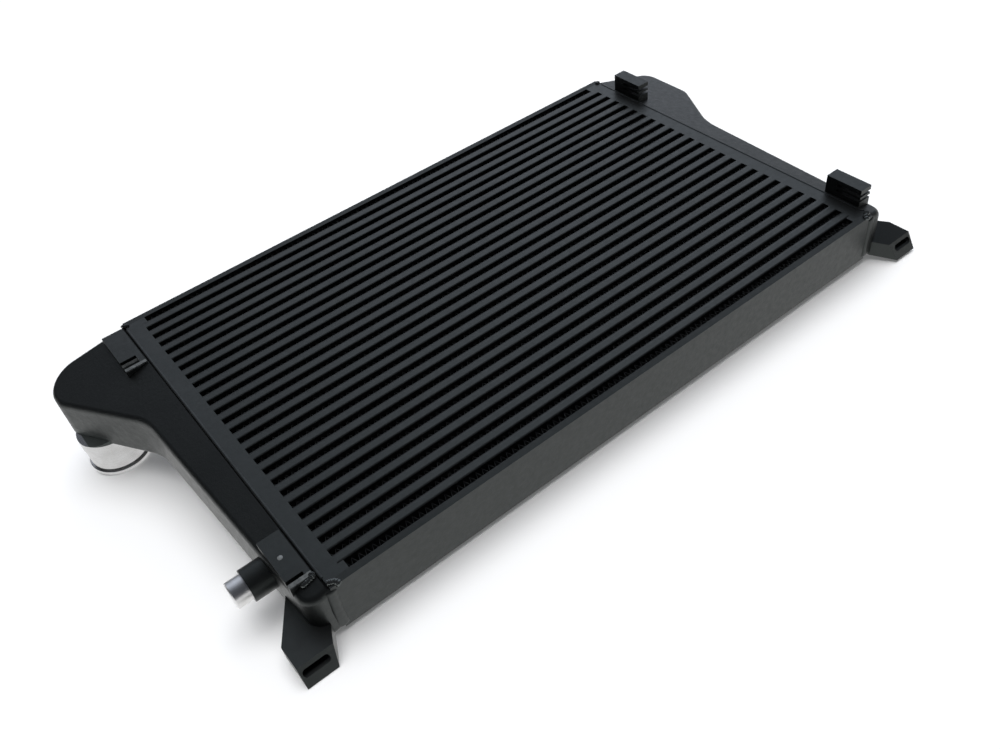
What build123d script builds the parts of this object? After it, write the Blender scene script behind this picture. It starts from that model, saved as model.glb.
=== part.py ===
from build123d import *
import os
from math import hypot

# Bar-and-plate intercooler with two cast end tanks. All lengths are in millimetres.
# The frame is the core's: the origin is the middle of its upper air face, +X runs along the bars
# toward the right tank, +Y runs away from the brackets, and +Z points out of that face.

# Core
core_length = 643.0
core_depth = 55.0
air_gap = 6.5
outer_air_gap = 8.75
bar_height = 8.0
bar_depth = 8.0
plate_thickness = 0.5
side_plate_thickness = 6.75
air_row_count = 26
end_bar_length = 16.0
outer_end_bar_length = 21.0

# Fins
air_fin_recess = 3.0
air_fin_sheet = 0.5
air_fin_legs = 20
turbulator_sheet = 0.6
turbulator_legs = 8

# End tanks: widths are measured outward from the core's end
tank_wall = 5.0
tank_edge_round = 6.0
tank_top_slope = 0.28
tank_bottom_slope = 0.24
near_corner_round = 15.0
waist_round = 70.0
shoulder_round = 25.0
weld_groove = 3.0
left_neck_width = 22.5
left_neck_growth = 14.0
left_wide_width = 91.4
left_far_overhang = -1.4
left_far_rise = 16.5
left_far_round = 30.0
left_flare_length = 101.5
left_shoulder_to_far = 48.1
right_neck_width = 22.5
right_neck_growth = 14.0
right_wide_width = 90.0
right_far_overhang = -3.0
right_far_rise = 1.5
right_far_round = 17.0
right_flare_length = 84.0
right_shoulder_to_far = 71.5

# Outlets
outlet_radius = 30.0
outlet_wall = 3.0
outlet_bead_radius = 32.0
outlet_bead_length = 5.0
outlet_bead_chamfer = 0.8
outlet_groove_width = 2.0
outlet_groove_depth = 1.2
outlet_reach = 55.0
outlet_from_wide_wall = 28.4
outlet_from_far_corner = 58.1
seat_radius = 30.8
seat_height = 8.0
seat_bore_overlap = 0.5
seat_drop = 6.0

# Receiver blocks on the tanks
block_edge_gap = 0.2
flat_block_rise = 1.0
flat_near_block_width = 20.3
flat_far_block_width = 21.8
flat_near_block_length = 55.0
flat_near_block_start = 20.0
flat_far_block_length = 64.0
flat_far_block_to_far = 23.1
flat_block_lip = 4.0
flat_slot_width = 3.6
flat_slot_depth = 7.0
flat_rib_length = 5.0
flat_rib_drop = 1.0
flat_slot_share = 0.75
block_dimple_radius = 2.0
block_dimple_depth = 2.0
standing_block_width = 15.5
standing_block_length = 42.0
standing_block_rise = 18.5
standing_near_block_start = 18.5
standing_far_block_to_far = 31.5
standing_jaw = 5.0
standing_slot = 3.2
standing_rib = 2.6
standing_slot_length = 30.0

# Brackets
bracket_drop = 39.0
bracket_height = 17.0
bracket_wall = 3.0
bracket_reach_out = 50.0
bracket_root = 50.0
bracket_knee = 8.0
bracket_end_top = 15.5
bracket_end_bottom = 25.5
bracket_inner_end = 22.0
bracket_inner_root = 10.0
bracket_slot_length = 24.0
bracket_slot_height = 6.4
bracket_slot_below_top = 6.6

# Locating pin and its boss
pin_from_near = 67.0
boss_radius = 14.75
boss_length = 23.0
pin_radius = 12.0
pin_length = 14.0
pin_chamfer = 0.8
pin_shank_radius = 7.0
pin_shank_length = 16.0
pin_shank_clearance = 0.05
pin_notch_width = 4.0
pin_notch_depth = 3.0

# Places that follow from the sizes above
half_length = core_length / 2
core_width = (
    2 * side_plate_thickness
    + 2 * outer_air_gap
    + (air_row_count - 2) * air_gap
    + (air_row_count - 1) * (bar_height + 2 * plate_thickness)
)
near = -core_width / 2
far = core_width / 2
LEFT = -1
RIGHT = 1


def stack_rows():
    """Walk the core from its near side plate: air rows, parting plates and charge rows."""
    air, plates, charge = [], [], []
    y = near + side_plate_thickness
    for row in range(air_row_count):
        outer = row in (0, air_row_count - 1)
        height = outer_air_gap if outer else air_gap
        end_bar = outer_end_bar_length if outer else end_bar_length
        air.append((y + height / 2, height, end_bar))
        y += height
        if row < air_row_count - 1:
            plates.append(y + plate_thickness / 2)
            charge.append(y + plate_thickness + bar_height / 2)
            y += 2 * plate_thickness + bar_height
            plates.append(y - plate_thickness / 2)
    return air, plates, charge


def zigzag(start, stop, height, legs, sheet):
    """Closed outline of a folded sheet that runs along the sketch's X and fills a height."""
    pitch = (stop - start) / legs
    half_sheet = sheet / 2 * hypot(1, height / pitch)
    crest = height / 2 - half_sheet
    line = [(start + i * pitch, crest if i % 2 else -crest) for i in range(legs + 1)]
    upper = [(x, y + half_sheet) for x, y in line]
    lower = [(x, y - half_sheet) for x, y in reversed(line)]
    return upper + lower


air_stack, plate_stack, charge_stack = stack_rows()


def charge_bars(z_outer, z_inner):
    """The bars along one air face, one to each charge row."""
    with BuildPart() as bars:
        with BuildSketch(Plane.YZ.offset(-half_length)):
            with Locations([(y, (z_outer + z_inner) / 2) for y in charge_stack]):
                Rectangle(bar_height, bar_depth)
        extrude(amount=core_length)
    return bars


def end_bars(side):
    """The short bars that close the air rows at one end of the core."""
    with BuildPart() as bars:
        for y, height, length in air_stack:
            with BuildSketch(Plane.XY):
                with Locations((side * (half_length - length / 2), y)):
                    Rectangle(length, height)
            extrude(amount=-core_depth)
    return bars


front_bars = charge_bars(0, -bar_depth)
rear_bars = charge_bars(-core_depth, bar_depth - core_depth)
left_end_bars = end_bars(LEFT)
right_end_bars = end_bars(RIGHT)

with BuildPart() as parting_plates:
    with BuildSketch(Plane.XY):
        with Locations([(0, y) for y in plate_stack]):
            Rectangle(core_length, plate_thickness)
    extrude(amount=-core_depth)


def air_fin_row(height, end_bar):
    """The folded strip of one air row, centred on the row."""
    fin_end = half_length - end_bar
    with BuildPart() as strip:
        with BuildSketch(Plane.XY.offset(-air_fin_recess)):
            with BuildLine():
                Polyline(*zigzag(-fin_end, fin_end, height, air_fin_legs, air_fin_sheet), close=True)
            make_face()
        extrude(amount=2 * air_fin_recess - core_depth)
    return strip


with BuildPart() as air_fins:
    for height, end_bar in sorted({(height, end_bar) for _, height, end_bar in air_stack}):
        strip = air_fin_row(height, end_bar)
        with Locations([(0, y) for y, row_height, _ in air_stack if row_height == height]):
            add(strip.part)

with BuildPart() as turbulator_row:
    # This sketch's X runs down through the core's depth
    with BuildSketch(Plane((-half_length, 0, 0), x_dir=(0, 0, -1), z_dir=(1, 0, 0))):
        with BuildLine():
            fold = zigzag(
                bar_depth, core_depth - bar_depth, bar_height, turbulator_legs, turbulator_sheet
            )
            Polyline(*fold, close=True)
        make_face()
    extrude(amount=core_length)

with BuildPart() as turbulator_fins:
    with Locations([(0, y) for y in charge_stack]):
        add(turbulator_row.part)


def side_plate(y_outer, inward):
    """The plate that closes the stack of rows on one long side."""
    with BuildPart() as plate:
        with BuildSketch(Plane.XY):
            with Locations((0, y_outer + inward * side_plate_thickness / 2)):
                Rectangle(core_length, side_plate_thickness)
        extrude(amount=-core_depth)
    return plate


near_side_plate = side_plate(near, 1)
far_side_plate = side_plate(far, -1)


class Tank:
    """The sizes of one end tank, with places in the core's frame."""

    def __init__(self, side, neck, neck_growth, wide, far_overhang, far_rise, far_round, lengths):
        flare_length, shoulder_to_far = lengths
        self.side = side
        self.neck = neck
        self.waist = neck + neck_growth
        self.wide = wide
        self.far_at_core = far + far_overhang
        self.far = self.far_at_core + far_rise
        self.far_round = far_round
        self.shoulder = self.far - shoulder_to_far
        self.flare = self.shoulder - flare_length
        self.outlet_out = wide - outlet_from_wide_wall
        self.outlet_y = self.far - outlet_from_far_corner
        self.seat_stations = (0, self.outlet_out, 2 * self.outlet_out)

    def x(self, out):
        """The X of a point that lies this far outward from the core's end."""
        return self.side * (half_length + out)

    def top(self, out):
        """The height of the sloping top."""
        return -tank_top_slope * out

    def bottom(self, out):
        """The height of the sloping underside."""
        return -core_depth - tank_bottom_slope * out

    def seat(self, out):
        """The height of the outlet's seat, which drops below the underside on its outer half."""
        return self.bottom(out) - max(0, out - self.outlet_out) / seat_radius * seat_drop


left = Tank(
    LEFT,
    left_neck_width,
    left_neck_growth,
    left_wide_width,
    left_far_overhang,
    left_far_rise,
    left_far_round,
    (left_flare_length, left_shoulder_to_far),
)
right = Tank(
    RIGHT,
    right_neck_width,
    right_neck_growth,
    right_wide_width,
    right_far_overhang,
    right_far_rise,
    right_far_round,
    (right_flare_length, right_shoulder_to_far),
)


def side_outline(tank, stations, over, under):
    """Side outline between two lines, each given as a height for a distance outward."""
    upper = [(tank.x(out), over(out)) for out in stations]
    lower = [(tank.x(out), under(out)) for out in reversed(stations)]
    return upper + lower


def tank_form(tank, inset, mouth):
    """Solid of a tank's outer form, or of its hollow when it is inset."""
    inside = -3 * tank_wall
    far_slope = (tank.far - tank.far_at_core) / tank.wide
    inside_far = tank.far_at_core + far_slope * inside
    with BuildPart() as form:
        with BuildSketch(Plane.XZ.offset(-core_width)):
            with BuildLine():
                side_view = side_outline(
                    tank,
                    (mouth, tank.wide + tank_wall),
                    lambda out: tank.top(out) - inset,
                    lambda out: tank.bottom(out) + inset,
                )
                Polyline(*side_view, close=True)
            make_face()
        extrude(amount=2 * core_width)
        with BuildSketch(Plane.XY.offset(-2 * core_depth)):
            with BuildLine():
                FilletPolyline(
                    (tank.x(inside), near),
                    (tank.x(tank.neck), near),
                    (tank.x(tank.waist), tank.flare),
                    (tank.x(tank.wide), tank.shoulder),
                    (tank.x(tank.wide), tank.far),
                    (tank.x(inside), inside_far),
                    radius=[near_corner_round, waist_round, shoulder_round, tank.far_round],
                )
                Line((tank.x(inside), inside_far), (tank.x(inside), near))
            make_face()
            if inset:
                offset(amount=-inset)
        extrude(amount=3 * core_depth, mode=Mode.INTERSECT)
        if not inset:
            top_face = form.faces().sort_by(Axis.Z)[-1]
            bottom_face = form.faces().sort_by(Axis.Z)[0]
            rim = top_face.edges() + bottom_face.edges()
            fillet(rim.filter_by(lambda e: abs(e.center().X) > half_length + 0.1), tank_edge_round)
    return form


def outlet_disc(tank, radius, thickness):
    """Round slab through the tank's underside, centred on the outlet."""
    with BuildPart() as disc:
        with BuildSketch(Plane.XY.offset(-3 * core_depth)):
            with Locations((tank.x(tank.outlet_out), tank.outlet_y)):
                Circle(radius)
        extrude(amount=3 * core_depth)
        with BuildSketch(Plane.XZ.offset(-core_width)):
            with BuildLine():
                side_view = side_outline(
                    tank, tank.seat_stations, lambda out: tank.bottom(out) + thickness, tank.seat
                )
                Polyline(*side_view, close=True)
            make_face()
        extrude(amount=2 * core_width, mode=Mode.INTERSECT)
    return disc


def end_tank(tank, form, boss=None):
    """Hollow casting, open toward the core, with a round hole for the outlet."""
    with BuildPart() as casting:
        add(form.part)
        add(outlet_disc(tank, seat_radius, seat_height).part)
        add(tank_form(tank, tank_wall, -tank_wall).part, mode=Mode.SUBTRACT)
        # Where the seat stands out past the slanted wall, its top closes the bore
        bore_cut = outlet_disc(tank, outlet_radius - outlet_wall, tank_wall + seat_bore_overlap)
        add(bore_cut.part, mode=Mode.SUBTRACT)
        with BuildSketch(Plane.XZ.offset(-core_width)):
            for edge_z, inward in ((0, -1), (-core_depth, 1)):
                with BuildLine():
                    Polyline(
                        (tank.x(0), edge_z + inward * weld_groove),
                        (tank.x(weld_groove), edge_z),
                        (tank.x(weld_groove), edge_z - inward * weld_groove),
                        (tank.x(0), edge_z - inward * weld_groove),
                        close=True,
                    )
                make_face()
        extrude(amount=2 * core_width, mode=Mode.SUBTRACT)
        if boss:
            add(boss.part)
    return casting


def outlet(tank):
    """Turned spigot with a groove and a bead near its end, cut to the tank's underside."""
    bore = outlet_radius - outlet_wall
    end = -core_depth - outlet_reach
    bead_top = end + outlet_bead_length
    groove_top = bead_top + outlet_groove_width
    axis_x = tank.x(tank.outlet_out)
    with BuildPart() as spigot:
        with BuildSketch(Plane((axis_x, tank.outlet_y, 0), x_dir=(1, 0, 0), z_dir=(0, -1, 0))):
            with BuildLine():
                Polyline(
                    (bore, end),
                    (outlet_bead_radius - outlet_bead_chamfer, end),
                    (outlet_bead_radius, end + outlet_bead_chamfer),
                    (outlet_bead_radius, bead_top - outlet_bead_chamfer),
                    (outlet_bead_radius - outlet_bead_chamfer, bead_top),
                    (outlet_radius - outlet_groove_depth, bead_top),
                    (outlet_radius - outlet_groove_depth, groove_top),
                    (outlet_radius, groove_top),
                    (outlet_radius, 0),
                    (bore, 0),
                    close=True,
                )
            make_face()
        revolve(axis=Axis((axis_x, tank.outlet_y, 0), (0, 0, 1)))
        with BuildSketch(Plane.XZ.offset(-core_width)):
            with BuildLine():
                side_view = side_outline(
                    tank, tank.seat_stations, tank.seat, lambda out: -3 * core_depth
                )
                Polyline(*side_view, close=True)
            make_face()
        extrude(amount=2 * core_width, mode=Mode.INTERSECT)
    return spigot


def flat_block(tank, form, start, width, length, ribbed):
    """Low receiver block, cut across near its end by a slot, or by two with a sloped rib between."""
    inner = weld_groove + block_edge_gap
    slot_width = flat_slot_share * width
    slot_z = flat_block_rise - flat_slot_depth
    first = start + flat_block_lip
    rib_start = first + flat_slot_width
    rib_end = rib_start + flat_rib_length
    with BuildPart() as block:
        with BuildSketch(Plane.XY.offset(flat_block_rise)):
            with Locations((tank.x(inner + width / 2), start + length / 2)):
                Rectangle(width, length)
        extrude(amount=tank.top(tank.neck) - tank_edge_round)
        with BuildSketch(Plane.YZ.offset(tank.x(inner + width))):
            with Locations((first + flat_slot_width / 2, flat_block_rise)):
                Rectangle(flat_slot_width, 2 * flat_slot_depth)
            if ribbed:
                with BuildLine():
                    Polyline(
                        (rib_start, flat_block_rise),
                        (rib_start, slot_z),
                        (rib_end, flat_block_rise - flat_rib_drop),
                        (rib_end, slot_z),
                        (rib_end + flat_slot_width, slot_z),
                        (rib_end + flat_slot_width, flat_block_rise),
                        close=True,
                    )
                make_face()
        extrude(amount=-tank.side * slot_width, mode=Mode.SUBTRACT)
        if not ribbed:
            with BuildSketch(Plane.XY.offset(flat_block_rise)):
                with Locations((tank.x(inner + 0.6 * width), start + 0.55 * length)):
                    Circle(block_dimple_radius)
            extrude(amount=-block_dimple_depth, mode=Mode.SUBTRACT)
        add(form.part, mode=Mode.SUBTRACT)
    return block


def standing_block(tank, form, start):
    """Tall receiver block with two slots that open toward the near end."""
    inner = weld_groove + block_edge_gap
    with BuildPart() as block:
        with BuildSketch(Plane.YZ.offset(tank.x(inner))):
            with Locations((start + standing_block_length / 2, 0)):
                Rectangle(standing_block_length, 2 * standing_block_rise)
            slot_top = standing_block_rise - standing_jaw
            for top in (slot_top, slot_top - standing_slot - standing_rib):
                with Locations((start + standing_slot_length / 2, top - standing_slot / 2)):
                    Rectangle(standing_slot_length, standing_slot, mode=Mode.SUBTRACT)
        extrude(amount=tank.side * standing_block_width)
        add(form.part, mode=Mode.SUBTRACT)
    return block


def bracket_end(z, inset):
    """The Y of a bracket's sloped end face at a height, or of a face parallel to it inside."""
    lean = (bracket_end_bottom - bracket_end_top) / bracket_height
    return near - bracket_end_top + lean * (z + bracket_drop) + inset * hypot(1, lean)


def bracket_solid(tank, inset):
    """Bracket arm behind its sloped end face, or the hollow inside it when it is inset."""
    top = -bracket_drop - inset
    bottom = -bracket_drop - bracket_height + inset
    with BuildPart() as arm:
        with BuildSketch(Plane.YZ.offset(tank.x(-tank.neck))):
            with BuildLine():
                Polyline(
                    (bracket_end(top, inset), top),
                    (bracket_end(bottom, inset), bottom),
                    (near + 2 * bracket_root, bottom),
                    (near + 2 * bracket_root, top),
                    close=True,
                )
            make_face()
        extrude(amount=tank.side * (2 * tank.neck + bracket_reach_out))
        with BuildSketch(Plane.XY.offset(-2 * core_depth)):
            with BuildLine():
                Polyline(
                    (tank.x(tank.neck), near + bracket_root),
                    (tank.x(bracket_reach_out), near + bracket_knee),
                    (tank.x(bracket_reach_out), near - bracket_end_bottom),
                    (tank.x(bracket_inner_end), near - bracket_end_bottom),
                    (tank.x(bracket_inner_root), near),
                    (tank.x(bracket_inner_root), near + near_corner_round),
                    (tank.x(tank.neck / 2), near + bracket_root),
                    close=True,
                )
            make_face()
            if inset:
                offset(amount=-inset)
        extrude(amount=2 * core_depth, mode=Mode.INTERSECT)
    return arm


def bracket(tank, form):
    """Hollow mounting arm with an oblong slot through its sloped end."""
    slot_x = tank.x((bracket_reach_out + bracket_inner_end) / 2)
    slot_z = -bracket_drop - bracket_slot_below_top
    with BuildPart() as arm:
        add(bracket_solid(tank, 0).part)
        add(bracket_solid(tank, bracket_wall).part, mode=Mode.SUBTRACT)
        slot_start = bracket_end(slot_z + bracket_slot_height, bracket_wall)
        with BuildSketch(Plane.XZ.offset(-slot_start)):
            with Locations((slot_x, slot_z)):
                SlotOverall(bracket_slot_length, bracket_slot_height)
        extrude(amount=bracket_end_bottom, mode=Mode.SUBTRACT)
        add(form.part, mode=Mode.SUBTRACT)
    return arm


left_form = tank_form(left, 0, 0)
right_form = tank_form(right, 0, 0)

# The locating pin's axis runs along X at the middle of the core's depth
boss_plane = Plane(
    (left.x(left.neck), near + pin_from_near, -core_depth / 2),
    x_dir=(0, 1, 0),
    z_dir=(-1, 0, 0),
)

with BuildPart() as pin_boss:
    with BuildSketch(boss_plane):
        Circle(boss_radius)
    extrude(amount=boss_length)
    with BuildSketch(boss_plane.offset(boss_length)):
        Circle(pin_shank_radius + pin_shank_clearance)
    extrude(amount=-pin_shank_length - pin_shank_clearance, mode=Mode.SUBTRACT)

with BuildPart() as locating_pin:
    with BuildSketch(boss_plane.offset(boss_length)):
        Circle(pin_radius)
    extrude(amount=pin_length)
    tip = locating_pin.faces().sort_by(Axis.X)[0]
    chamfer(tip.edges(), pin_chamfer)
    with BuildSketch(boss_plane.offset(boss_length)):
        with Locations((0, pin_radius - pin_notch_depth / 2)):
            Rectangle(2 * pin_radius, pin_notch_depth)
    extrude(amount=pin_notch_width, mode=Mode.SUBTRACT)
    with BuildSketch(boss_plane.offset(boss_length)):
        Circle(pin_shank_radius)
    extrude(amount=-pin_shank_length)

left_end_tank = end_tank(left, left_form, pin_boss)
right_end_tank = end_tank(right, right_form)
left_outlet = outlet(left)
right_outlet = outlet(right)
left_near_block = flat_block(
    left,
    left_form,
    near + flat_near_block_start,
    flat_near_block_width,
    flat_near_block_length,
    False,
)
left_far_block = flat_block(
    left,
    left_form,
    left.far - flat_far_block_to_far - flat_far_block_length,
    flat_far_block_width,
    flat_far_block_length,
    True,
)
right_near_block = standing_block(right, right_form, near + standing_near_block_start)
right_far_block = standing_block(
    right, right_form, right.far - standing_far_block_to_far - standing_block_length
)
left_bracket = bracket(left, left_form)
right_bracket = bracket(right, right_form)

nodes = {
    "front_bars": front_bars,
    "rear_bars": rear_bars,
    "left_end_bars": left_end_bars,
    "right_end_bars": right_end_bars,
    "parting_plates": parting_plates,
    "air_fins": air_fins,
    "turbulator_fins": turbulator_fins,
    "near_side_plate": near_side_plate,
    "far_side_plate": far_side_plate,
    "left_end_tank": left_end_tank,
    "right_end_tank": right_end_tank,
    "left_outlet": left_outlet,
    "right_outlet": right_outlet,
    "left_near_block": left_near_block,
    "left_far_block": left_far_block,
    "right_near_block": right_near_block,
    "right_far_block": right_far_block,
    "left_bracket": left_bracket,
    "right_bracket": right_bracket,
    "locating_pin": locating_pin,
}

os.makedirs("parts", exist_ok=True)
for name, piece in nodes.items():
    piece.part.label = name
    export_step(piece.part, f"parts/{name}.step")
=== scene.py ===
import math
import random

import bmesh
import bpy
from mathutils import Matrix, Vector


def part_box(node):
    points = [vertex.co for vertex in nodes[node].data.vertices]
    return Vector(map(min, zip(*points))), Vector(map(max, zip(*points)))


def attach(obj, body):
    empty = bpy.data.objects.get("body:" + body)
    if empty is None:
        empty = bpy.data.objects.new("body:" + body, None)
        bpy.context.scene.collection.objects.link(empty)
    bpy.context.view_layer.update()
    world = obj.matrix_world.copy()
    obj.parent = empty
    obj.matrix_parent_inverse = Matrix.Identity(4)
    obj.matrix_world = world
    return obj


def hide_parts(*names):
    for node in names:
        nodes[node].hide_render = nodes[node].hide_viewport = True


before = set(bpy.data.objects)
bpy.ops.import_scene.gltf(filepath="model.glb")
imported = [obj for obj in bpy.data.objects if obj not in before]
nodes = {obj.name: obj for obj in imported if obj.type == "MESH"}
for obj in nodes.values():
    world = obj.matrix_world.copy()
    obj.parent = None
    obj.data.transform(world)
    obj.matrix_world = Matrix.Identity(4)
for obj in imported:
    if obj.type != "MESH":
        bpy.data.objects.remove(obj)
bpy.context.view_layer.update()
BODY = "root"


# Shader helpers

def new_material(name):
    mat = bpy.data.materials.new(name)
    mat.use_nodes = True
    tree = mat.node_tree
    tree.nodes.clear()
    out = tree.nodes.new("ShaderNodeOutputMaterial")
    return mat, tree, out


def node(tree, kind, **sockets):
    made = tree.nodes.new(kind)
    for key, value in sockets.items():
        made.inputs[key.replace("_", " ")].default_value = value
    return made


def noise(tree, coords, scale, detail=3.0, rough=0.55):
    made = node(tree, "ShaderNodeTexNoise", Scale=scale, Detail=detail, Roughness=rough)
    tree.links.new(coords, made.inputs["Vector"])
    return made.outputs["Fac"]


def ramp(tree, fac, low, high, a=0.3, b=0.7):
    made = node(tree, "ShaderNodeMapRange")
    made.inputs["From Min"].default_value = a
    made.inputs["From Max"].default_value = b
    made.inputs["To Min"].default_value = low
    made.inputs["To Max"].default_value = high
    tree.links.new(fac, made.inputs["Value"])
    return made.outputs["Result"]


def mix_colour(tree, fac, a, b):
    made = tree.nodes.new("ShaderNodeMix")
    made.data_type = "RGBA"
    made.inputs["A"].default_value = (*a, 1)
    made.inputs["B"].default_value = (*b, 1)
    tree.links.new(fac, made.inputs["Factor"])
    return made.outputs["Result"]


def bump(tree, height, strength, distance, normal=None):
    made = node(tree, "ShaderNodeBump", Strength=strength, Distance=distance)
    tree.links.new(height, made.inputs["Height"])
    if normal is not None:
        tree.links.new(normal, made.inputs["Normal"])
    return made.outputs["Normal"]


def position(tree):
    """Place in the part's own frame."""
    return tree.nodes.new("ShaderNodeTexCoord").outputs["Object"]


def maths(tree, operation, *values):
    """Result of a math node whose inputs are numbers or sockets."""
    made = tree.nodes.new("ShaderNodeMath")
    made.operation = operation
    for socket, value in zip(made.inputs, values):
        if isinstance(value, (int, float)):
            socket.default_value = value
        else:
            tree.links.new(value, socket)
    return made.outputs[0]


def coat(name, tone, tint, rough, grain=1.0, cloud=0.25, specular=0.5, shape=None):
    """Satin black powder coat: fine orange peel, slow changes of gloss and tone."""
    mat, tree, out = new_material(name)
    place = position(tree)
    shader = node(tree, "ShaderNodeBsdfPrincipled")
    shader.inputs["Specular IOR Level"].default_value = specular
    shader.inputs["Specular Tint"].default_value = (0.9, 1.0, 0.97, 1)
    slow = noise(tree, place, 14, 2.0)
    dark = tuple(tone * (1 - cloud) * c for c in tint)
    pale = tuple(tone * (1 + cloud) * c for c in tint)
    tree.links.new(mix_colour(tree, ramp(tree, slow, 0, 1), dark, pale), shader.inputs["Base Color"])
    gloss = noise(tree, place, 160, 3.0)
    tree.links.new(ramp(tree, gloss, rough - 0.05, rough + 0.05), shader.inputs["Roughness"])
    peel = noise(tree, place, 1400, 2.0)
    wave = noise(tree, place, 300, 2.0)
    normal = bump(tree, peel, 0.18 * grain, 0.0003, shape(tree, place) if shape else None)
    tree.links.new(bump(tree, wave, 0.12 * grain, 0.0008, normal), shader.inputs["Normal"])
    tree.links.new(shader.outputs[0], out.inputs[0])
    return mat


def turned_shader(tree, axis, tone, rough):
    """Bare turned aluminium: fine rings along its axis, with soft stains."""
    place = position(tree)
    shader = node(tree, "ShaderNodeBsdfPrincipled", Metallic=1.0)
    stretch = node(tree, "ShaderNodeMapping")
    scale = [12.0, 12.0, 12.0]
    scale[axis] = 4200.0
    stretch.inputs["Scale"].default_value = scale
    tree.links.new(place, stretch.inputs["Vector"])
    rings = noise(tree, stretch.outputs[0], 1.0, 4.0, 0.7)
    stains = noise(tree, place, 70, 4.0)
    pale = tuple(tone * c for c in (1, 1, 1.005))
    dull = tuple(0.82 * tone * c for c in (1, 0.995, 0.985))
    tree.links.new(mix_colour(tree, ramp(tree, stains, 0, 1), pale, dull), shader.inputs["Base Color"])
    tree.links.new(ramp(tree, rings, rough - 0.07, rough + 0.1), shader.inputs["Roughness"])
    tree.links.new(bump(tree, rings, 0.25, 0.00012), shader.inputs["Normal"])
    return shader.outputs[0]


def turned_metal(name, axis, tone, rough):
    mat, tree, out = new_material(name)
    tree.links.new(turned_shader(tree, axis, tone, rough), out.inputs[0])
    return mat


def lean_upward_faces(tree, lean):
    """Normal whose Y grows by lean on faces that look up, and which is the face's own elsewhere."""
    face = tree.nodes.new("ShaderNodeNewGeometry").outputs["Normal"]
    split = tree.nodes.new("ShaderNodeSeparateXYZ")
    tree.links.new(face, split.inputs[0])
    upward = maths(tree, "GREATER_THAN", split.outputs["Z"], UPWARD_LIMIT)
    join = tree.nodes.new("ShaderNodeCombineXYZ")
    tree.links.new(maths(tree, "MULTIPLY", upward, lean), join.inputs["Y"])
    total = tree.nodes.new("ShaderNodeVectorMath")
    total.operation = "ADD"
    tree.links.new(face, total.inputs[0])
    tree.links.new(join.outputs[0], total.inputs[1])
    unit = tree.nodes.new("ShaderNodeVectorMath")
    unit.operation = "NORMALIZE"
    tree.links.new(total.outputs[0], unit.inputs[0])
    return unit.outputs[0]


def eased_bars(tree, place):
    """Normal of bars whose long edges are rounded between the end strips."""
    low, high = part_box("front_bars")
    plates_low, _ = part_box("parting_plates")
    pitch = (high[1] - low[1] - BAR_WIDTH) / (BAR_COUNT - 1)
    share = (BAR_WIDTH + 2 * (low[1] - plates_low[1])) / pitch
    split = tree.nodes.new("ShaderNodeSeparateXYZ")
    tree.links.new(place, split.inputs[0])
    rows = maths(tree, "DIVIDE", maths(tree, "SUBTRACT", split.outputs["Y"], plates_low[1]), pitch)
    across = ramp(tree, maths(tree, "FRACT", rows), -1, 1, 0, share)
    bend = ramp(tree, maths(tree, "ABSOLUTE", across), 0, 0.9, 0.5, 1.0)
    inside = maths(tree, "LESS_THAN", maths(tree, "ABSOLUTE", split.outputs["X"]), high[0] - STRIP_WIDTH)
    lean = maths(tree, "MULTIPLY", maths(tree, "MULTIPLY", bend, maths(tree, "SIGN", across)), inside)
    return lean_upward_faces(tree, lean)


def leaning_top(lean):
    """Shape whose upward faces look a little toward the near side."""
    def shape(tree, place):
        return lean_upward_faces(tree, -lean)
    return shape


UPWARD_LIMIT = 0.6
BAR_COUNT = 25
BAR_WIDTH = 0.008
STRIP_WIDTH = 0.016


def dress(names, mat):
    for name in names:
        slots = nodes[name].material_slots
        if not len(slots):
            nodes[name].data.materials.append(mat)
        for s in slots:
            s.material = mat


GREY = (0.96, 1.0, 1.03)
bars_coat = coat("bars_satin_black", 0.005, GREY, 0.40, shape=eased_bars)
frame_coat = coat("core_satin_black", 0.005, GREY, 0.40)
plate_coat = coat("plate_satin_black", 0.006, GREY, 0.46, shape=leaning_top(0.16))
tank_coat = coat("tank_satin_black", 0.004, GREY, 0.44, 1.5)
block_coat = coat("block_satin_black", 0.006, GREY, 0.46)
# Painted light: the left bracket's coat is lighter than the other black coats, standing in for light on
# it
bracket_coat = coat("bracket_satin_black", 0.009, GREY, 0.42)
far_bracket_coat = coat("right_bracket_satin_black", 0.005, GREY, 0.42, shape=leaning_top(0.4))
# Painted highlight: the plug's pale grey stands in for a bright spot of light on the block's dimple
plug_highlight_coat = coat("plug_painted_highlight_grey", 0.13, GREY, 0.3, specular=0.8)
# Painted light: the fins' coat is lighter than the bars' so the fins show in the shade of the gaps
fin_coat = coat("fin_black", 0.014, GREY, 0.40, specular=0.6)
weld_coat = coat("weld_gloss_black", 0.014, GREY, 0.10, 0.6, specular=1.0)
OUTLET_TONE = 0.60
OUTLET_ROUGH = 0.26
outlet_metal = turned_metal("outlet_turned_aluminium", 2, OUTLET_TONE, OUTLET_ROUGH)
pin_metal = turned_metal("pin_turned_aluminium", 0, 0.82, 0.34)
core_metal = turned_metal("core_mill_aluminium", 0, 0.7, 0.4)

dress(["front_bars", "parting_plates"], bars_coat)
dress(["rear_bars", "left_end_bars", "right_end_bars"], frame_coat)
dress(["near_side_plate", "far_side_plate"], plate_coat)
dress(["left_end_tank", "right_end_tank"], tank_coat)
dress(["left_near_block", "left_far_block", "right_near_block", "right_far_block"], block_coat)
dress(["left_bracket"], bracket_coat)
dress(["right_bracket"], far_bracket_coat)
dress(["left_outlet", "right_outlet"], outlet_metal)
dress(["locating_pin"], pin_metal)
dress(["turbulator_fins"], core_metal)
dress(["air_fins"], fin_coat)


# Outlet seats: bare below the paint line, with a lighter tone painted on the ledge above it as painted
# light

PAINT_LINE = -0.0682
SEAT_REACH = 0.0315
LEDGE_RISE = 0.009
# Painted light: lighter tone on the ledge over each outlet, standing in for light on it
LEDGE_LIGHT_TONE = (0.034, 0.038, 0.037, 1)


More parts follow.
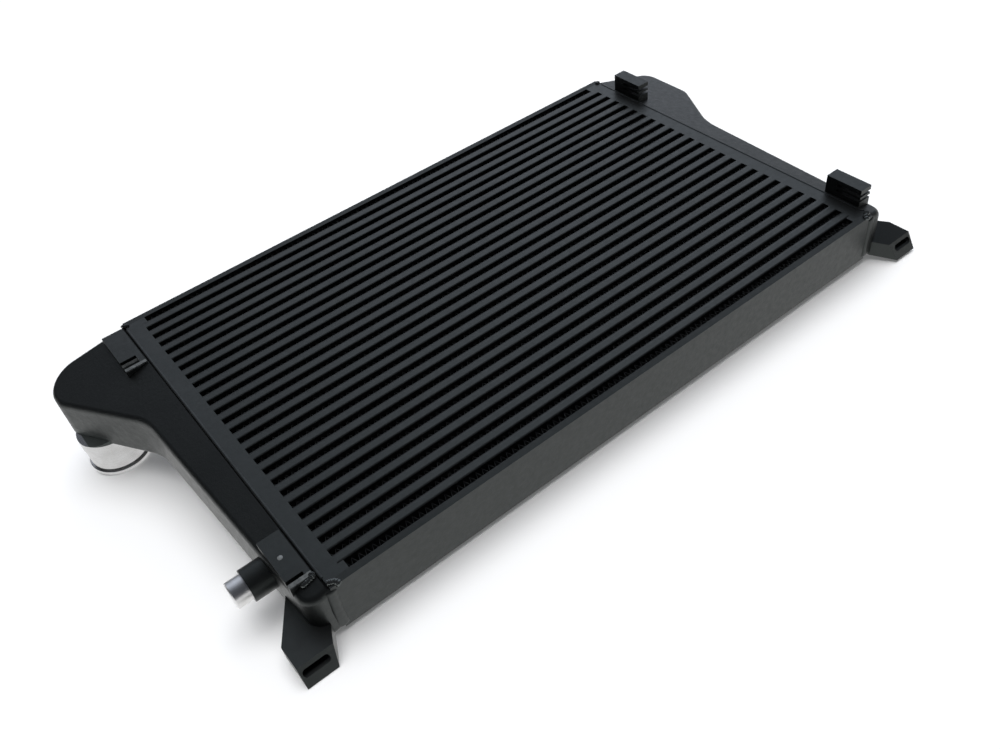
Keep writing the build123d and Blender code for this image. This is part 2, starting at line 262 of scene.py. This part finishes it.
def bare_seat_and_lit_ledge(mat):
    """Show bare metal on the seats' lower part, which lies round each outlet, and paint the ledge above
    it lighter as painted light.
    """
    tree = mat.node_tree
    out = next(n for n in tree.nodes if n.type == "OUTPUT_MATERIAL")
    painted = next(n for n in tree.nodes if n.type == "BSDF_PRINCIPLED")
    split = tree.nodes.new("ShaderNodeSeparateXYZ")
    tree.links.new(position(tree), split.inputs[0])
    near_axis = []
    for name in ("left_outlet", "right_outlet"):
        low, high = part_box(name)
        x = maths(tree, "SUBTRACT", split.outputs["X"], (low[0] + high[0]) / 2)
        y = maths(tree, "SUBTRACT", split.outputs["Y"], (low[1] + high[1]) / 2)
        squares = maths(tree, "MULTIPLY", x, x), maths(tree, "MULTIPLY", y, y)
        reach = maths(tree, "SQRT", maths(tree, "ADD", *squares))
        near_axis.append(maths(tree, "LESS_THAN", reach, SEAT_REACH))
    around = maths(tree, "ADD", *near_axis)
    under_ledge = maths(tree, "LESS_THAN", split.outputs["Z"], PAINT_LINE + LEDGE_RISE)
    under_line = maths(tree, "LESS_THAN", split.outputs["Z"], PAINT_LINE)
    seat = maths(tree, "MULTIPLY", around, under_ledge)
    bare = maths(tree, "MULTIPLY", around, under_line)
    # Painted light: the ledge above the paint line gets a lighter tone that stands in for light, not a
    # coat of its own
    ledge_light = tree.nodes.new("ShaderNodeMix")
    ledge_light.data_type = "RGBA"
    ledge_light.inputs["B"].default_value = LEDGE_LIGHT_TONE
    tree.links.new(painted.inputs["Base Color"].links[0].from_socket, ledge_light.inputs["A"])
    tree.links.new(seat, ledge_light.inputs["Factor"])
    tree.links.new(ledge_light.outputs["Result"], painted.inputs["Base Color"])
    pick = node(tree, "ShaderNodeMixShader")
    tree.links.new(bare, pick.inputs[0])
    tree.links.new(painted.outputs[0], pick.inputs[1])
    tree.links.new(turned_shader(tree, 2, OUTLET_TONE, OUTLET_ROUGH), pick.inputs[2])
    tree.links.new(pick.outputs[0], out.inputs[0])


bare_seat_and_lit_ledge(tank_coat)


# Ribs and lips beside the flat blocks' slots, painted paler than the coat as highlights

BLOCK_LIP = 0.004
BLOCK_SLOT = 0.0036
BLOCK_RIB = 0.005
SLOT_SHARE = 0.75
# Painted highlight: pale tone on the blocks' lips and rib
LIP_HIGHLIGHT_TONE = (0.085, 0.089, 0.090, 1)


def painted_lip_highlights(mat):
    tree = mat.node_tree
    painted = next(n for n in tree.nodes if n.type == "BSDF_PRINCIPLED")
    split = tree.nodes.new("ShaderNodeSeparateXYZ")
    tree.links.new(position(tree), split.inputs[0])
    rib_start = BLOCK_LIP + BLOCK_SLOT
    zones = []
    for name, start, end, share, reach in (
        ("left_near_block", 0, BLOCK_LIP, 1.0, 0.0015),
        ("left_far_block", 0, BLOCK_LIP, 1.0, 0.0015),
        ("left_far_block", rib_start, rib_start + BLOCK_RIB, SLOT_SHARE, 0.0030),
    ):
        low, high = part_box(name)
        limits = [
            maths(tree, "GREATER_THAN", split.outputs["Y"], low[1] + start - 0.0001),
            maths(tree, "LESS_THAN", split.outputs["Y"], low[1] + end + 0.0001),
            maths(tree, "LESS_THAN", split.outputs["X"], low[0] + share * (high[0] - low[0]) + 0.0001),
            maths(tree, "GREATER_THAN", split.outputs["Z"], high[2] - reach),
        ]
        zone = limits[0]
        for limit in limits[1:]:
            zone = maths(tree, "MULTIPLY", zone, limit)
        zones.append(zone)
    lip_highlight_mask = maths(tree, "ADD", maths(tree, "ADD", zones[0], zones[1]), zones[2])
    patches = ramp(tree, noise(tree, position(tree), 260, 3.0), 0.35, 1.0)
    # Painted highlight on the lips and rib, broken up by noise
    mix = tree.nodes.new("ShaderNodeMix")
    mix.data_type = "RGBA"
    mix.inputs["B"].default_value = LIP_HIGHLIGHT_TONE
    tree.links.new(painted.inputs["Base Color"].links[0].from_socket, mix.inputs["A"])
    tree.links.new(maths(tree, "MULTIPLY", lip_highlight_mask, patches), mix.inputs["Factor"])
    tree.links.new(mix.outputs["Result"], painted.inputs["Base Color"])


painted_lip_highlights(block_coat)


def add_mesh(name, verts, faces, mat, smooth=False):
    mesh = bpy.data.meshes.new(name)
    mesh.from_pydata(verts, [], faces)
    mesh.materials.append(mat)
    if smooth:
        mesh.shade_smooth()
    mesh.update()
    obj = bpy.data.objects.new(name, mesh)
    bpy.context.scene.collection.objects.link(obj)
    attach(obj, BODY)
    return obj


# Fine corrugated air fins in place of the coarse ones

FIN_PITCH = 0.0032
FIN_SHEET = 0.00015


def rows_of(name):
    """The X, Y and Z span of each separate strip in a CAD node, ordered by Y."""
    mesh = bmesh.new()
    mesh.from_mesh(nodes[name].data)
    bmesh.ops.remove_doubles(mesh, verts=mesh.verts, dist=1e-7)
    seen, spans = set(), []
    for start in mesh.verts:
        if start in seen:
            continue
        stack, shell = [start], []
        seen.add(start)
        while stack:
            vert = stack.pop()
            shell.append(vert.co.copy())
            for edge in vert.link_edges:
                other = edge.other_vert(vert)
                if other not in seen:
                    seen.add(other)
                    stack.append(other)
        spans.append([(min(c[i] for c in shell), max(c[i] for c in shell)) for i in range(3)])
    mesh.free()
    return sorted(spans, key=lambda s: s[1])


def fine_fins():
    verts, faces = [], []
    for (x0, x1), (y0, y1), (z0, z1) in rows_of("air_fins"):
        legs = 2 * round((x1 - x0) / FIN_PITCH / 2)
        pitch = (x1 - x0) / legs
        line = [
            (x0 + i * pitch, y0 + FIN_SHEET if i % 2 else y1 - FIN_SHEET)
            for i in range(legs + 1)
        ]
        base = len(verts)
        count = len(line)
        for z in (z1, z0):
            for shift in (FIN_SHEET / 2, -FIN_SHEET / 2):
                for x, y in line:
                    along = min(max(x + shift, x0), x1)
                    verts.append((along, y, z))
        top_a, top_b, low_a, low_b = (base + k * count for k in range(4))
        for i in range(count - 1):
            faces.append((top_a + i, top_a + i + 1, top_b + i + 1, top_b + i))
            faces.append((low_a + i + 1, low_a + i, low_b + i, low_b + i + 1))
            faces.append((top_a + i + 1, top_a + i, low_a + i, low_a + i + 1))
            faces.append((top_b + i, top_b + i + 1, low_b + i + 1, low_b + i))
    fins = add_mesh("fine_air_fins", verts, faces, fin_coat)
    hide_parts("air_fins")


fine_fins()


# Weld beads

RIPPLE_STEPS = 4
BEAD_SIDES = 10
BEAD_END_SHARE = 0.35
BEAD_SUNK_SHARE = 0.6


def weld(name, path, width, rise, normals, ripple=0.0016, mat=weld_coat, lumps=0.05, wave=0.20):
    """Bead laid along a path as overlapping ripples, lying on surfaces with these normals."""
    rng = random.Random(name)
    points = [Vector(p) for p in path]
    spans = [(b - a).length for a, b in zip(points, points[1:])]
    total = sum(spans)
    count = max(6, int(total / ripple)) * RIPPLE_STEPS
    ring = BEAD_SIDES
    verts, faces = [], []
    for i in range(count + 1):
        t = i / count * total
        k = 0
        while k < len(spans) - 1 and t > spans[k]:
            t -= spans[k]
            k += 1
        share = t / spans[k]
        centre = points[k].lerp(points[k + 1], share)
        up = Vector(normals[k]).lerp(Vector(normals[k + 1]), share).normalized()
        along = (points[k + 1] - points[k]).normalized()
        side = along.cross(up).normalized()
        phase = (i % RIPPLE_STEPS) / RIPPLE_STEPS
        ripple_height = wave * math.sin(math.pi * (0.25 + 0.75 * phase))
        swell = 1 - wave + ripple_height + lumps * rng.uniform(-1, 1)
        if i in (0, count):
            swell *= BEAD_END_SHARE
        for j in range(ring):
            a = 2 * math.pi * j / ring
            flat = math.sin(a) * rise * (1.0 if math.sin(a) > 0 else BEAD_SUNK_SHARE)
            verts.append(centre + side * math.cos(a) * width / 2 * swell + up * flat * swell)
    for i in range(count):
        for j in range(ring):
            a, b = i * ring + j, i * ring + (j + 1) % ring
            faces.append((a, b, b + ring, a + ring))
    faces.append(tuple(reversed(range(ring))))
    faces.append(tuple(range(count * ring, count * ring + ring)))
    return add_mesh(name, [tuple(v) for v in verts], faces, mat, True)


plate_low, plate_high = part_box("near_side_plate")
left_end, right_end = plate_low[0], plate_high[0]
near_y, depth = plate_low[1], plate_low[2]
far_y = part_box("far_side_plate")[1][1]
for side, end in (("left", left_end), ("right", right_end)):
    out = -1 if side == "left" else 1
    weld(
        f"weld_{side}_near_seam",
        [
            (end, near_y + 0.0008, -0.003),
            (end + out * 0.0008, near_y + 0.0006, depth / 2),
            (end, near_y + 0.0008, depth + 0.003),
        ],
        0.010,
        0.0021,
        [(0, -1, 0.1), (0, -1, 0), (0, -1, -0.1)],
        0.0060,
        plate_coat,
        0.004,
        0.02,
    )
    weld(
        f"weld_{side}_corner",
        [
            (end - out * 0.0005, near_y + 0.0060, 0.0002),
            (end - out * 0.0065, near_y + 0.003, 0.0002),
            (end - out * 0.0085, near_y - 0.0004, -0.0015),
        ],
        0.0058,
        0.0030,
        [(0, 0, 1), (0, 0, 1), (0, -0.7, 0.7)],
        0.0022,
        lumps=0.20,
    )
    weld(
        f"weld_{side}_far_corner",
        [
            (end + out * 0.001, far_y - 0.0015, -0.002),
            (end, far_y - 0.006, 0.0002),
            (end - out * 0.0045, far_y - 0.0075, 0.0002),
        ],
        0.0050,
        0.0018,
        [(0, 0.6, 0.8), (0, 0, 1), (0, 0, 1)],
        0.0022,
        tank_coat,
    )
    weld(
        f"weld_{side}_top_seam",
        [(end, near_y + 0.012, -0.0001), (end, 0, -0.0001), (end, far_y - 0.012, -0.0001)],
        0.0030,
        0.0007,
        [(0, 0, 1), (0, 0, 1), (0, 0, 1)],
        0.0030,
        tank_coat,
    )

# A fillet weld closes the step between the near block's end and the tank
block_low, block_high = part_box("left_near_block")
weld(
    "weld_block_end",
    [
        (block_high[0] - 0.0005, block_low[1] + 0.001, 0.001),
        (block_high[0] - 0.0015, block_low[1] - 0.0012, -0.0008),
        (block_high[0] - 0.0125, block_low[1] - 0.0010, -0.0040),
    ],
    0.0062,
    0.0032,
    [(0, 0, 1), (0, -0.5, 0.9), (-0.2, -0.5, 0.9)],
    0.0022,
    lumps=0.20,
)


def plug():
    """Small plug that closes the near block's dimple with a low dome, pale grey as a painted highlight.
    """
    low, high = block_low, block_high
    centre = Vector((
        high[0] - PLUG_ACROSS * (high[0] - low[0]),
        low[1] + PLUG_ALONG * (high[1] - low[1]),
        high[2],
    ))
    rings, around = 4, 20
    verts, faces = [(centre.x, centre.y, centre.z + PLUG_RISE)], []
    for ring in range(1, rings + 1):
        share = ring / rings
        reach = PLUG_RADIUS * share
        rise = PLUG_RISE * (1 - share ** 2) - PLUG_SUNK * share ** 4
        for i in range(around):
            angle = 2 * math.pi * i / around
            x = centre.x + reach * math.cos(angle)
            y = centre.y + reach * math.sin(angle)
            verts.append((x, y, centre.z + rise))
    for i in range(around):
        after = (i + 1) % around
        faces.append((0, 1 + i, 1 + after))
        for ring in range(rings - 1):
            a = 1 + ring * around
            faces.append((a + i, a + around + i, a + around + after, a + after))
    add_mesh("block_plug", verts, faces, plug_highlight_coat, True)


PLUG_RADIUS = 0.0027
PLUG_RISE = 0.0007
PLUG_SUNK = 0.0003
PLUG_ACROSS = 0.6
PLUG_ALONG = 0.55
plug()


# Stage: a white floor in the plane that the part rests on, and soft light

def floor_plane():
    """Centre and normal of the plane under both outlets and the left bracket."""
    feet = []
    for name in ("left_outlet", "right_outlet"):
        low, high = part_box(name)
        feet.append(Vector(((low[0] + high[0]) / 2, low[1], low[2])))
    low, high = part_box("left_bracket")
    feet.append(Vector((low[0], low[1], low[2])))
    normal = (feet[1] - feet[0]).cross(feet[2] - feet[0])
    normal.normalize()
    if normal.z < 0:
        normal = -normal
    return feet[0] - normal * FLOOR_GAP, normal


FLOOR_GAP = 0.0005
floor_at, floor_up = floor_plane()
tilt = Vector((0, 0, 1)).rotation_difference(floor_up).to_matrix().to_4x4()

FLOOR_HALF = 30.0
FLOOR_TONE = 0.80
FLOOR_GLOW = 0.12
GLOSSY_GLOW = 0.92
GLOSSY_UNLIT = 0.85


def make_floor():
    """White with the part's soft shadow for the camera, and evenly bright in reflections."""
    mesh = bpy.data.meshes.new("floor")
    half = FLOOR_HALF
    corners = [(-half, -half, 0), (half, -half, 0), (half, half, 0), (-half, half, 0)]
    mesh.from_pydata(corners, [], [(0, 1, 2, 3)])
    obj = bpy.data.objects.new("floor", mesh)
    bpy.context.scene.collection.objects.link(obj)
    obj.matrix_world = Matrix.Translation(floor_at) @ tilt
    mat, tree, out = new_material("floor_white")
    path = tree.nodes.new("ShaderNodeLightPath")
    diffuse = node(tree, "ShaderNodeBsdfDiffuse")
    diffuse.inputs["Color"].default_value = (FLOOR_TONE, FLOOR_TONE, FLOOR_TONE, 1)
    eye_glow = maths(tree, "MULTIPLY", path.outputs["Is Camera Ray"], FLOOR_GLOW)
    glossy_glow = maths(tree, "MULTIPLY", path.outputs["Is Glossy Ray"], GLOSSY_GLOW)
    glow = node(tree, "ShaderNodeEmission")
    tree.links.new(maths(tree, "ADD", eye_glow, glossy_glow), glow.inputs["Strength"])
    lit = node(tree, "ShaderNodeMixShader")
    unlit = maths(tree, "MULTIPLY", path.outputs["Is Glossy Ray"], GLOSSY_UNLIT)
    tree.links.new(unlit, lit.inputs[0])
    tree.links.new(diffuse.outputs[0], lit.inputs[1])
    black = node(tree, "ShaderNodeBsdfDiffuse")
    black.inputs["Color"].default_value = (0, 0, 0, 1)
    tree.links.new(black.outputs[0], lit.inputs[2])
    both = node(tree, "ShaderNodeAddShader")
    tree.links.new(lit.outputs[0], both.inputs[0])
    tree.links.new(glow.outputs[0], both.inputs[1])
    tree.links.new(both.outputs[0], out.inputs[0])
    mesh.materials.append(mat)


make_floor()


def make_world():
    """White for the camera. For light and reflections: a broad bright patch in a dim sky."""
    world = bpy.data.worlds.new("studio")
    bpy.context.scene.world = world
    world.use_nodes = True
    tree = world.node_tree
    tree.nodes.clear()
    out = tree.nodes.new("ShaderNodeOutputWorld")
    toward = node(tree, "ShaderNodeVectorMath")
    toward.operation = "DOT_PRODUCT"
    toward.inputs[1].default_value = PATCH_TOWARD
    tree.links.new(tree.nodes.new("ShaderNodeTexCoord").outputs["Generated"], toward.inputs[0])
    spread = ramp(tree, toward.outputs["Value"], 0, 1, 0.5, 1.0)
    sky = tree.nodes.new("ShaderNodeValToRGB")
    while len(sky.color_ramp.elements) < len(SKY_LEVELS):
        sky.color_ramp.elements.new(0.5)
    for element, (at, level) in zip(sky.color_ramp.elements, SKY_LEVELS):
        element.position = at
        element.color = (*(level * c for c in SKY_TINT), 1)
    tree.links.new(spread, sky.inputs["Fac"])
    light = node(tree, "ShaderNodeBackground")
    light.inputs["Strength"].default_value = SKY_STRENGTH
    tree.links.new(sky.outputs["Color"], light.inputs["Color"])
    white = node(tree, "ShaderNodeBackground")
    white.inputs["Color"].default_value = (1, 1, 1, 1)
    path = tree.nodes.new("ShaderNodeLightPath")
    pick = node(tree, "ShaderNodeMixShader")
    tree.links.new(path.outputs["Is Camera Ray"], pick.inputs[0])
    tree.links.new(light.outputs[0], pick.inputs[1])
    tree.links.new(white.outputs[0], pick.inputs[2])
    tree.links.new(pick.outputs[0], out.inputs[0])


# Seen from the part, the bright patch stands behind its far right corner, above the horizon
PATCH_TOWARD = Vector((0.527, 0.628, 0.574)).normalized()
SKY_LEVELS = [
    (0.0, 0.07), (0.2, 0.10), (0.35, 0.19), (0.5, 0.33), (0.6, 0.46),
    (0.7, 0.60), (0.8, 0.76), (0.9, 0.98), (1.0, 1.20),
]
SKY_STRENGTH = 1.0
SKY_TINT = (0.92, 0.98, 1.11)
make_world()


def overhead_sun(strength, angle):
    """Soft light from straight over the floor, which the glossy coats don't mirror."""
    data = bpy.data.lights.new("overhead", "SUN")
    data.energy = strength
    data.angle = math.radians(angle)
    obj = bpy.data.objects.new("overhead", data)
    bpy.context.scene.collection.objects.link(obj)
    obj.matrix_world = tilt
    obj.visible_glossy = False


SUN_STRENGTH = 2.9
SUN_ANGLE = 60
overhead_sun(SUN_STRENGTH, SUN_ANGLE)


# Camera, placed and turned so that the core's corners and bars fall where the photo has them

CAMERA_PLACE = (-0.40842, -0.622435, 0.598311)
CAMERA_RIGHT = (0.78024788, -0.61684296, -0.10352776)
CAMERA_DOWN = (-0.49867953, -0.5135931, -0.69824126)
CAMERA_FORWARD = (0.37753406, 0.59642844, -0.70833689)
CAMERA_LENS = 33.911

camera_data = bpy.data.cameras.new("camera")
camera_data.sensor_fit = "HORIZONTAL"
camera_data.sensor_width = 36.0
camera_data.lens = CAMERA_LENS
camera_data.clip_start = 0.01
camera_data.clip_end = 200.0
camera = bpy.data.objects.new("camera", camera_data)
bpy.context.scene.collection.objects.link(camera)
right, down, forward = (Vector(v) for v in (CAMERA_RIGHT, CAMERA_DOWN, CAMERA_FORWARD))
turn = Matrix((right, -down, -forward)).transposed().to_4x4()
camera.matrix_world = Matrix.Translation(CAMERA_PLACE) @ turn
bpy.context.scene.camera = camera
bpy.context.scene.view_settings.view_transform = "Standard"
